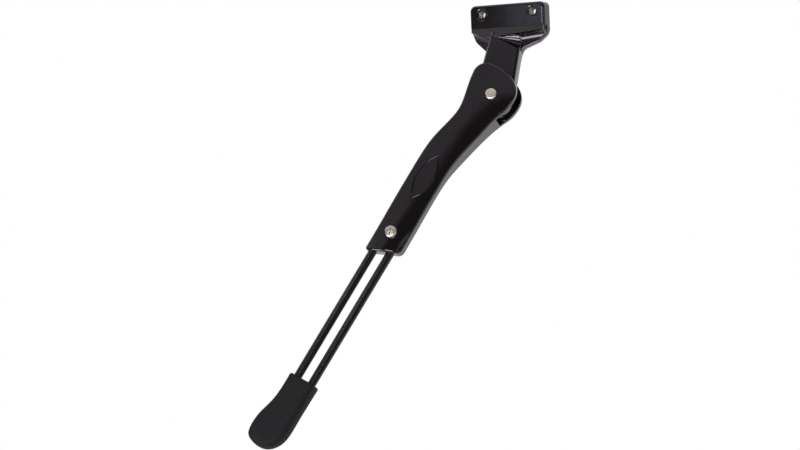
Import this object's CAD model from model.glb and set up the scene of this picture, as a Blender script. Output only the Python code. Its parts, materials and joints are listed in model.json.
import json
import math
import bmesh
import bpy
from mathutils import Matrix, Vector


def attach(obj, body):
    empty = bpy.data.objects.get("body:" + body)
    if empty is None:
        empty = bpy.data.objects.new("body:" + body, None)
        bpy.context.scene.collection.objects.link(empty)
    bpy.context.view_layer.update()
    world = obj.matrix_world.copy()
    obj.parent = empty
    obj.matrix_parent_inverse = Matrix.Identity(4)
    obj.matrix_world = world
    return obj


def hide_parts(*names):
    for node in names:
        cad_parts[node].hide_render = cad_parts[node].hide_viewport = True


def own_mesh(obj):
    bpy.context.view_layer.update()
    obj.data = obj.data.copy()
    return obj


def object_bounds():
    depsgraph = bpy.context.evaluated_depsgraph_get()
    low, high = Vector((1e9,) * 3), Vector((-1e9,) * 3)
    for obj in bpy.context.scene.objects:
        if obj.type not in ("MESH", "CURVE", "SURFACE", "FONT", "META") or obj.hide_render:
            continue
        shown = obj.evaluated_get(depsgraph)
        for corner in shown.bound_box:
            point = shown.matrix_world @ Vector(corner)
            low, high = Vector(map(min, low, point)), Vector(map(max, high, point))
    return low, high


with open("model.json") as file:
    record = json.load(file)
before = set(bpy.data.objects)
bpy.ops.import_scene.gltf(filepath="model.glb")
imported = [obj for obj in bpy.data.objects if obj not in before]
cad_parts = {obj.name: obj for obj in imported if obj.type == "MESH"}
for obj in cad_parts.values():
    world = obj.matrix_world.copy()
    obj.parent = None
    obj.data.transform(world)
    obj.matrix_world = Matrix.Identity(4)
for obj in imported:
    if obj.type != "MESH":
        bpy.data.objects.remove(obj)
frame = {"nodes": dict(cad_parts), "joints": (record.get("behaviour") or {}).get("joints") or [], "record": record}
cadLow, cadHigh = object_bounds()
nodes = frame["nodes"]
joints = {joint["name"]: joint for joint in frame["joints"]}
print("frame loaded:", len(nodes), "nodes")


# small helpers
def linear(hexColour):
    channels = [int(hexColour[i:i + 2], 16) / 255 for i in (1, 3, 5)]
    return [c / 12.92 if c <= 0.04045 else ((c + 0.055) / 1.055) ** 2.4 for c in channels] + [1.0]


def perMetre(millimetres):  # a pattern's scale from its real size
    return 1000.0 / millimetres


def addNode(tree, kind, inputs=None, **settings):
    node = tree.nodes.new(kind)
    for name, value in settings.items():
        setattr(node, name, value)
    for key, value in (inputs or {}).items():
        if isinstance(value, bpy.types.NodeSocket):
            tree.links.new(value, node.inputs[key])
        else:
            node.inputs[key].default_value = value
    return node


def newMaterial(name):
    material = bpy.data.materials.new(name)
    material.use_nodes = True
    tree = material.node_tree
    shader = tree.nodes["Principled BSDF"]
    place = addNode(tree, "ShaderNodeTexCoord").outputs["Object"]
    return material, tree, shader, place


# what the finishes share: noise that varies their colour, roughness and relief between two ends
def varySurface(tree, shader, look, colourNoise, roughNoise, reliefNoise):
    colour = addNode(tree, "ShaderNodeMix", {0: colourNoise, 6: linear(look["dark"]),
                                             7: linear(look["light"])}, data_type="RGBA").outputs[2]
    rough = addNode(tree, "ShaderNodeMapRange", {"Value": roughNoise, "To Min": look["roughLow"],
                                                 "To Max": look["roughHigh"]}).outputs["Result"]
    bump = addNode(tree, "ShaderNodeBump", {"Height": reliefNoise, "Strength": look["relief"],
                                            "Distance": look["reliefDeep"]})
    tree.links.new(colour, shader.inputs["Base Color"])
    tree.links.new(rough, shader.inputs["Roughness"])
    tree.links.new(bump.outputs["Normal"], shader.inputs["Normal"])
    return colour, rough


def dress(material, *names):
    for name in names:
        mesh = nodes[name].data
        mesh.materials.clear()
        mesh.materials.append(material)


def addPiece(name, bm, material=None, smooth=False):
    if smooth:
        for face in bm.faces:
            face.smooth = True
    mesh = bpy.data.meshes.new(name)
    bm.to_mesh(mesh)
    bm.free()
    if material:
        mesh.materials.append(material)
    piece = bpy.data.objects.new(name, mesh)
    bpy.context.scene.collection.objects.link(piece)
    return piece


# black stoving enamel on die-cast aluminium: deep, glossy, with a faint orange peel; pattern sizes in mm
enamelLook = {"dark": "#0a090a", "light": "#110f10", "cloud": 9.0, "cloudDetail": 3.0, "roughLow": 0.05,
              "roughHigh": 0.1, "peel": 1.6, "peelDetail": 1.0, "relief": 0.25, "reliefDeep": 0.00001,
              "reflectTint": "#fff3ff"}
# thin film from handling on the front of the bar: where it begins and is full along each axis, in metres
filmLook = {"colour": "#141a24", "patch": 5.0, "detail": 4.0, "thin": 0.3, "thick": 0.66,
            "area": (("Y", -0.0086, -0.0089), ("Z", -0.0099, -0.0096), ("X", -0.022, 0.004))}
# the tapped holes were cut after painting, so the casting is bare within this radius, in metres
bareLook = {"colour": "#aeaba6", "rough": 0.32, "radius": 0.00262}


def enamel(name, holeX=None):
    material, tree, shader, place = newMaterial(name)
    cloud = addNode(tree, "ShaderNodeTexNoise", {"Vector": place, "Scale": perMetre(enamelLook["cloud"]),
                                                 "Detail": enamelLook["cloudDetail"]}).outputs["Fac"]
    peel = addNode(tree, "ShaderNodeTexNoise", {"Vector": place, "Scale": perMetre(enamelLook["peel"]),
                                                "Detail": enamelLook["peelDetail"]}).outputs["Fac"]
    colour, rough = varySurface(tree, shader, enamelLook, cloud, cloud, peel)
    shader.inputs["Specular Tint"].default_value = linear(enamelLook["reflectTint"])
    if holeX:
        split = addNode(tree, "ShaderNodeSeparateXYZ", {"Vector": place})
        colour = handlingFilm(tree, place, split, colour)
        bareHoles(tree, shader, split, holeX, colour, rough)
    return material


def handlingFilm(tree, place, split, colour):
    share = addNode(tree, "ShaderNodeTexNoise", {"Vector": place, "Scale": perMetre(filmLook["patch"]),
                                                 "Detail": filmLook["detail"]}).outputs["Fac"]
    for axis, begins, full in filmLook["area"]:
        mask = addNode(tree, "ShaderNodeMapRange", {"Value": split.outputs[axis], "From Min": begins,
                                                    "From Max": full})
        share = addNode(tree, "ShaderNodeMath", {0: share, 1: mask.outputs["Result"]},
                        operation="MULTIPLY").outputs[0]
    patchy = addNode(tree, "ShaderNodeMapRange", {"Value": share, "From Min": filmLook["thin"],
                                                  "From Max": filmLook["thick"]})
    filmed = addNode(tree, "ShaderNodeMix", {0: patchy.outputs["Result"], 6: colour,
                                             7: linear(filmLook["colour"])}, data_type="RGBA")
    return filmed.outputs[2]


def bareHoles(tree, shader, split, holeX, colour, rough):
    side = addNode(tree, "ShaderNodeMath", {0: split.outputs["X"]}, operation="ABSOLUTE")
    across = addNode(tree, "ShaderNodeMath", {0: side.outputs[0], 1: holeX}, operation="SUBTRACT")
    flat = addNode(tree, "ShaderNodeCombineXYZ", {"X": across.outputs[0], "Y": split.outputs["Z"]})
    reach = addNode(tree, "ShaderNodeVectorMath", {0: flat.outputs[0]}, operation="LENGTH")
    bare = addNode(tree, "ShaderNodeMath", {0: reach.outputs["Value"], 1: bareLook["radius"]},
                   operation="LESS_THAN").outputs[0]
    mixed = addNode(tree, "ShaderNodeMix", {0: bare, 6: colour, 7: linear(bareLook["colour"])},
                    data_type="RGBA")
    cut = addNode(tree, "ShaderNodeMapRange", {"Value": bare, "To Min": enamelLook["roughLow"],
                                               "To Max": bareLook["rough"]})
    rougher = addNode(tree, "ShaderNodeMath", {0: cut.outputs["Result"], 1: rough}, operation="MAXIMUM")
    tree.links.new(bare, shader.inputs["Metallic"])
    tree.links.new(mixed.outputs[2], shader.inputs["Base Color"])
    tree.links.new(rougher.outputs[0], shader.inputs["Roughness"])


holeOffset = frame["record"]["mounts"][0]["dims"]["spacing_x_mm"] / 2000  # half the spacing, in metres
dress(enamel("enamelledCastingWithTappedHoles", holeOffset), "mount_head")
dress(enamel("enamelledCasting"), "leg_housing")
print("castings painted")

# black satin powder coat on drawn bar: softer gloss, fine speckle
barLook = {"dark": "#080708", "light": "#0f0d0e", "speckle": 0.8, "detail": 2.0, "roughLow": 0.18,
           "roughHigh": 0.26, "relief": 0.12, "reliefDeep": 0.00001, "shine": 0.3}


def powderCoat():
    material, tree, shader, place = newMaterial("powderCoatedBar")
    speckle = addNode(tree, "ShaderNodeTexNoise", {"Vector": place, "Scale": perMetre(barLook["speckle"]),
                                                   "Detail": barLook["detail"]}).outputs["Fac"]
    varySurface(tree, shader, barLook, speckle, speckle, speckle)
    shader.inputs["Specular IOR Level"].default_value = barLook["shine"]
    return material


dress(powderCoat(), "leg_rods")

# moulded black rubber: matt, faintly patchy; the mould's grain is drawn coarser than it is, so that it shows
rubberLook = {"dark": "#100e11", "light": "#171517", "patch": 14.0, "patchDetail": 2.0, "grain": 0.7,
              "grainDetail": 3.0, "roughLow": 0.62, "roughHigh": 0.8, "relief": 0.35, "reliefDeep": 0.00005,
              "shine": 0.15}


def mouldedRubber():
    material, tree, shader, place = newMaterial("mouldedRubber")
    grain = addNode(tree, "ShaderNodeTexNoise", {"Vector": place, "Scale": perMetre(rubberLook["grain"]),
                                                 "Detail": rubberLook["grainDetail"]}).outputs["Fac"]
    patch = addNode(tree, "ShaderNodeTexNoise", {"Vector": place, "Scale": perMetre(rubberLook["patch"]),
                                                 "Detail": rubberLook["patchDetail"]}).outputs["Fac"]
    varySurface(tree, shader, rubberLook, patch, grain, grain)
    shader.inputs["Specular IOR Level"].default_value = rubberLook["shine"]
    return material


# the foot as moulded: a merged copy of its solid with its long edges softened; the depth from the top that
# is kept as it was grows with each pass, so that the softening runs out towards the top edge
footLook = {"merge": 1e-6, "mesh": 0.0008, "passes": 45, "share": 0.5, "kept": (0.0015, 0.022)}


def softFoot():
    bm = bmesh.new()
    bm.from_mesh(nodes["rubber_foot"].data)
    bmesh.ops.remove_doubles(bm, verts=bm.verts, dist=footLook["merge"])
    solid = addPiece("softFootSolid", bm)
    even = solid.modifiers.new("evenMesh", "REMESH")
    even.mode = "VOXEL"
    even.voxel_size = footLook["mesh"]
    evenMesh = bpy.data.meshes.new_from_object(solid.evaluated_get(bpy.context.evaluated_depsgraph_get()))
    bpy.data.objects.remove(solid)
    bm = bmesh.new()
    bm.from_mesh(evenMesh)
    along = Vector(joints["leg_length"]["axis"])
    top = max(vert.co.dot(along) for vert in bm.verts)
    depths = [(vert, top - vert.co.dot(along)) for vert in bm.verts]
    keptFirst, keptLast = footLook["kept"]
    for turn in range(footLook["passes"]):
        kept = keptFirst + (keptLast - keptFirst) * turn / footLook["passes"]
        softened = [vert for vert, depth in depths if depth > kept]
        bmesh.ops.smooth_vert(bm, verts=softened, factor=footLook["share"], use_axis_x=True, use_axis_y=True,
                              use_axis_z=True)
    foot = addPiece("softFoot", bm, mouldedRubber(), smooth=True)
    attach(foot, "rods")
    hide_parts("rubber_foot")


softFoot()

# steel, nickel or zinc plated or left plain, and the cast aluminium where a tap cut it: metal with fine marks
metalMarks = {"marks": 0.9, "detail": 3.0, "relief": 0.15, "reliefDeep": 0.00002}
metalLooks = {"nickelPlatedSteel": {"dark": "#c2b5ad", "light": "#dcd2ca", "roughLow": 0.3, "roughHigh": 0.4},
              "zincPlatedSteel": {"dark": "#a69b95", "light": "#bdb5ae", "roughLow": 0.3, "roughHigh": 0.4},
              "plainSteel": {"dark": "#8d8d8f", "light": "#a9a9ab", "roughLow": 0.3, "roughHigh": 0.45},
              "tappedAluminium": {"dark": "#a3a19d", "light": "#c4c1bd", "roughLow": 0.22, "roughHigh": 0.36}}


def metal(name):
    material, tree, shader, place = newMaterial(name)
    marks = addNode(tree, "ShaderNodeTexNoise", {"Vector": place, "Scale": perMetre(metalMarks["marks"]),
                                                 "Detail": metalMarks["detail"]}).outputs["Fac"]
    varySurface(tree, shader, metalMarks | metalLooks[name], marks, marks, marks)
    shader.inputs["Metallic"].default_value = 1.0
    return material


metals = {name: metal(name) for name in metalLooks}
dress(metals["nickelPlatedSteel"], "pivot_rivet")
dress(metals["zincPlatedSteel"], "clamp_screw")
dress(metals["plainSteel"], "pivot_washers", "detent_plunger", "clamp_plate")
print("rods, foot and small pieces dressed")

# detent spring, wound again where its solid lies so that it can shorten as the plunger slides
springLook = {"wire": 0.00055, "wireSides": 10, "turns": 5, "stepsPerTurn": 32}


def woundSpring():
    slide = joints["plunger_slide"]
    along = Vector(slide["axis"]).normalized()
    across = along.orthogonal().normalized()
    axes = (across, along.cross(across), along)
    spans = []
    for axis in axes:
        reach = [vert.co.dot(axis) for vert in nodes["detent_spring"].data.vertices]
        spans.append((min(reach), max(reach)))
    middle = sum((axis * (low + high) / 2 for axis, (low, high) in zip(axes[:2], spans)), Vector())
    wire = springLook["wire"]
    radius = (spans[0][1] - spans[0][0]) / 2 - wire
    low, high = spans[2]
    pitch = (high - low - 2 * wire) / springLook["turns"]
    start = middle + across * radius + along * (low + wire)
    bm = bmesh.new()
    ring = []
    for i in range(springLook["wireSides"]):
        angle = 2 * math.pi * i / springLook["wireSides"]
        ring.append(bm.verts.new(start + wire * (across * math.cos(angle) + along * math.sin(angle))))
    bm.faces.new(ring)
    steps = springLook["turns"] * springLook["stepsPerTurn"]
    wound = bmesh.ops.spin(bm, geom=ring + list(bm.edges), cent=middle, axis=along,
                           dvec=along * pitch / springLook["stepsPerTurn"],
                           angle=2 * math.pi * springLook["turns"], steps=steps, use_merge=False)
    lastRing = [edge for edge in wound["geom_last"] if isinstance(edge, bmesh.types.BMEdge)]
    bmesh.ops.contextual_create(bm, geom=lastRing)
    bmesh.ops.recalc_face_normals(bm, faces=bm.faces)
    spring = addPiece("woundSpring", bm, metals["plainSteel"], smooth=True)
    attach(spring, "leg")
    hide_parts("detent_spring")
    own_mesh(spring)


woundSpring()
print("spring wound")

# threads of the two tapped holes: a ridge wound down each wall
threadSize = {"wall": 0.00249, "crest": 0.00216, "pitch": 0.001, "ridgeHalf": 0.00046, "first": -0.0076,
              "turns": 6.4, "stepsPerTurn": 28}


def thread(name, holeX):
    bm = bmesh.new()
    half = threadSize["ridgeHalf"]
    profile = [(threadSize["wall"], -half), (threadSize["crest"], 0.0), (threadSize["wall"], half)]
    ring = [bm.verts.new((holeX + radius, threadSize["first"] + along, 0.0)) for radius, along in profile]
    edges = [bm.edges.new(pair) for pair in zip(ring, ring[1:])]
    steps = round(threadSize["turns"] * threadSize["stepsPerTurn"])
    bmesh.ops.spin(bm, geom=ring + edges, cent=(holeX, 0.0, 0.0), axis=(0, 1, 0),
                   dvec=(0, threadSize["pitch"] / threadSize["stepsPerTurn"], 0),
                   angle=2 * math.pi * threadSize["turns"], steps=steps, use_merge=False)
    bmesh.ops.recalc_face_normals(bm, faces=bm.faces)
    piece = addPiece(name, bm, metals["tappedAluminium"])
    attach(piece, "head")


thread("frontHoleThread", -holeOffset)
thread("rearHoleThread", holeOffset)
print("threads wound")

# camera of the photograph: level, a long lens, turned to the rear of the stand and rolled a little
cameraSetup = {"place": (0.9081, -1.8710, -0.1483), "azimuth": 28.26, "roll": -2.16, "lens": 130.5,
               "sensor": 36.0}
cameraData = bpy.data.cameras.new("camera")
cameraData.sensor_width = cameraSetup["sensor"]
cameraData.lens = cameraSetup["lens"]
camera = bpy.data.objects.new("camera", cameraData)
azimuth, roll = math.radians(cameraSetup["azimuth"]), math.radians(cameraSetup["roll"])
back = Vector((math.sin(azimuth), -math.cos(azimuth), 0.0))
right = Vector((math.cos(azimuth), math.sin(azimuth), 0.0))
up = Vector((0.0, 0.0, 1.0))
imageX = right * math.cos(roll) + up * math.sin(roll)
imageY = back.cross(imageX)
turn = Matrix((imageX, imageY, back)).transposed()
camera.matrix_world = Matrix.Translation(Vector(cameraSetup["place"])) @ turn.to_4x4()
bpy.context.scene.collection.objects.link(camera)
bpy.context.scene.camera = camera
print("camera placed")

# pale paper floor well below the foot, so that its shadow is soft; it fades out into the white round it
floorSetup = {"radius": 1.6, "sides": 48, "fade": 0.4, "drop": 1.0, "colour": "#f4f4f4", "rough": 0.9}


def floor():
    material, tree, shader, place = newMaterial("paleFloorPaper")
    flat = addNode(tree, "ShaderNodeVectorMath", {0: place, 1: (1.0, 1.0, 0.0)}, operation="MULTIPLY")
    reach = addNode(tree, "ShaderNodeVectorMath", {0: flat.outputs[0]}, operation="LENGTH")
    alpha = addNode(tree, "ShaderNodeMapRange", {"Value": reach.outputs["Value"],
                                                 "From Min": floorSetup["fade"],
                                                 "From Max": floorSetup["radius"],
                                                 "To Min": 1.0, "To Max": 0.0}, interpolation_type="SMOOTHSTEP")
    shader.inputs["Base Color"].default_value = linear(floorSetup["colour"])
    shader.inputs["Roughness"].default_value = floorSetup["rough"]
    tree.links.new(alpha.outputs["Result"], shader.inputs["Alpha"])
    bm = bmesh.new()
    bmesh.ops.create_circle(bm, cap_ends=True, segments=floorSetup["sides"], radius=floorSetup["radius"])
    bmesh.ops.translate(bm, verts=bm.verts, vec=(0.0, 0.0, cadLow.z - floorSetup["drop"]))
    addPiece("floor", bm, material)


floor()
print("floor laid")

# dark cloth flag round the camera's side for the gloss paint to mirror, in metres and degrees: nearly solid at
# the height of the part and thinner above, with the cloth's opacity given by height
flagSetup = {"radius": 3.0, "low": -1.3, "high": 4.2, "turn": (-115.0, 100.0), "steps": 43,
             "colour": "#1a1a1a", "rough": 1.0,
             "upperFade": ((1.4, 0.97), (1.5, 0.9), (1.6, 0.72), (1.7, 0.55), (1.9, 0.5), (2.05, 0.55),
                           (2.5, 0.2), (4.2, 0.15))}
# windows in the flag that light the front of the bar and the left flare: the share of cloth left in each, and
# for each side its axis, where it is shut and where it is open
flagWindows = {"bar": {"cloth": 0.15,
                       "sides": (("Z", 0.172, 0.184), ("Z", 0.36, 0.27), ("X", -1.327, -1.303))},
               "flare": {"cloth": 0.0,
                         "sides": (("Z", 0.171, 0.165), ("Z", 0.04, 0.06), ("X", -1.325, -1.34),
                                   ("X", -1.46, -1.44))}}


def flagCloth():
    material, tree, shader, place = newMaterial("blackFlagCloth")
    split = addNode(tree, "ShaderNodeSeparateXYZ", {"Vector": place})
    low, high = flagSetup["low"], flagSetup["high"]
    share = addNode(tree, "ShaderNodeMapRange", {"Value": split.outputs["Z"], "From Min": low,
                                                 "From Max": high})
    ramp = addNode(tree, "ShaderNodeValToRGB", {"Fac": share.outputs["Result"]})
    stops = ramp.color_ramp.elements
    while len(stops) < len(flagSetup["upperFade"]):
        stops.new(0.5)  # placed below
    for stop, (height, opacity) in zip(stops, flagSetup["upperFade"]):
        stop.position = (height - low) / (high - low)
        stop.color = (opacity, opacity, opacity, 1.0)
    opacity = ramp.outputs["Color"]
    for window in flagWindows.values():
        shut = window["cloth"]
        for axis, closed, opened in window["sides"]:
            side = addNode(tree, "ShaderNodeMapRange", {"Value": split.outputs[axis], "From Min": closed,
                                                        "From Max": opened, "To Min": 1.0,
                                                        "To Max": window["cloth"]})
            shut = addNode(tree, "ShaderNodeMath", {0: shut, 1: side.outputs["Result"]},
                           operation="MAXIMUM").outputs[0]
        opacity = addNode(tree, "ShaderNodeMath", {0: opacity, 1: shut}, operation="MULTIPLY").outputs[0]
    shader.inputs["Base Color"].default_value = linear(flagSetup["colour"])
    shader.inputs["Roughness"].default_value = flagSetup["rough"]
    tree.links.new(opacity, shader.inputs["Alpha"])
    return material


def flag():
    bm = bmesh.new()
    start, stop = [math.radians(angle) for angle in flagSetup["turn"]]
    foot = Matrix.Rotation(start, 3, "Z") @ Vector((0.0, -flagSetup["radius"], 0.0))
    ends = [bm.verts.new((foot.x, foot.y, flagSetup[key])) for key in ("low", "high")]
    edge = bm.edges.new(ends)
    bmesh.ops.spin(bm, geom=ends + [edge], cent=(0, 0, 0), axis=(0, 0, 1), steps=flagSetup["steps"],
                   angle=stop - start, use_merge=False)
    cloth = addPiece("darkFlag", bm, flagCloth())
    cloth.visible_camera = False


flag()
print("flag hung")

# light: white all round, and soft lamps for the gloss paint and the metal to mirror
tentSetup = {"colour": "#ffffff", "strength": 1.0}
lampAim = (-0.03, -0.03, -0.13)  # beside the leg's housing
lampSetup = {
    # the hollow under the head's shelf, the rivet, the screw and the foot
    "lowLamp": {"place": (-0.445, -0.98, -0.575), "size": (0.4, 0.7), "power": 7.9},
    # the same hollow, the rims and the rods
    "scoopLamp": {"place": (0.2, -1.19, -0.22), "size": (0.4, 0.4), "power": 5.5},
    # the same hollow; it lights the head alone, because the leg would mirror it as a glare in other views
    "hollowLamp": {"place": (0.03, -0.69, -0.88), "size": (0.4, 0.3), "power": 3.8,
                   "lightsOnly": "mount_head"},
    # the rods and the rims of the holes
    "barLamp": {"place": (-0.125, -0.5, 0.035), "size": (0.09, 0.05), "power": 0.17},
    # the left edges of the neck, the leg and the rods
    "leftLamp": {"place": (-1.15, -0.2, 0.65), "size": (0.5, 0.5), "power": 2.4},
    # the right wall of the leg
    "rightLamp": {"place": (0.395, -0.12, -0.24), "size": (0.2, 0.16), "power": 0.2}}


def lamp(name, setup):
    data = bpy.data.lights.new(name, "AREA")
    data.shape = "RECTANGLE"
    data.size, data.size_y = setup["size"]
    data.energy = setup["power"]
    light = bpy.data.objects.new(name, data)
    place = Vector(setup["place"])
    aim = (Vector(lampAim) - place).to_track_quat("-Z", "Y").to_matrix()
    light.matrix_world = Matrix.Translation(place) @ aim.to_4x4()
    light.visible_camera = False
    if "lightsOnly" in setup:
        lit = bpy.data.collections.new(name + "Lights")
        lit.objects.link(nodes[setup["lightsOnly"]])
        light.light_linking.receiver_collection = lit
    bpy.context.scene.collection.objects.link(light)


for lampName, oneLamp in lampSetup.items():
    lamp(lampName, oneLamp)
world = bpy.data.worlds.new("whiteTent")
world.use_nodes = True
background = world.node_tree.nodes["Background"]
background.inputs["Color"].default_value = linear(tentSetup["colour"])
background.inputs["Strength"].default_value = tentSetup["strength"]
bpy.context.scene.world = world
bpy.context.scene.view_settings.view_transform = "Standard"
print("stage lit")
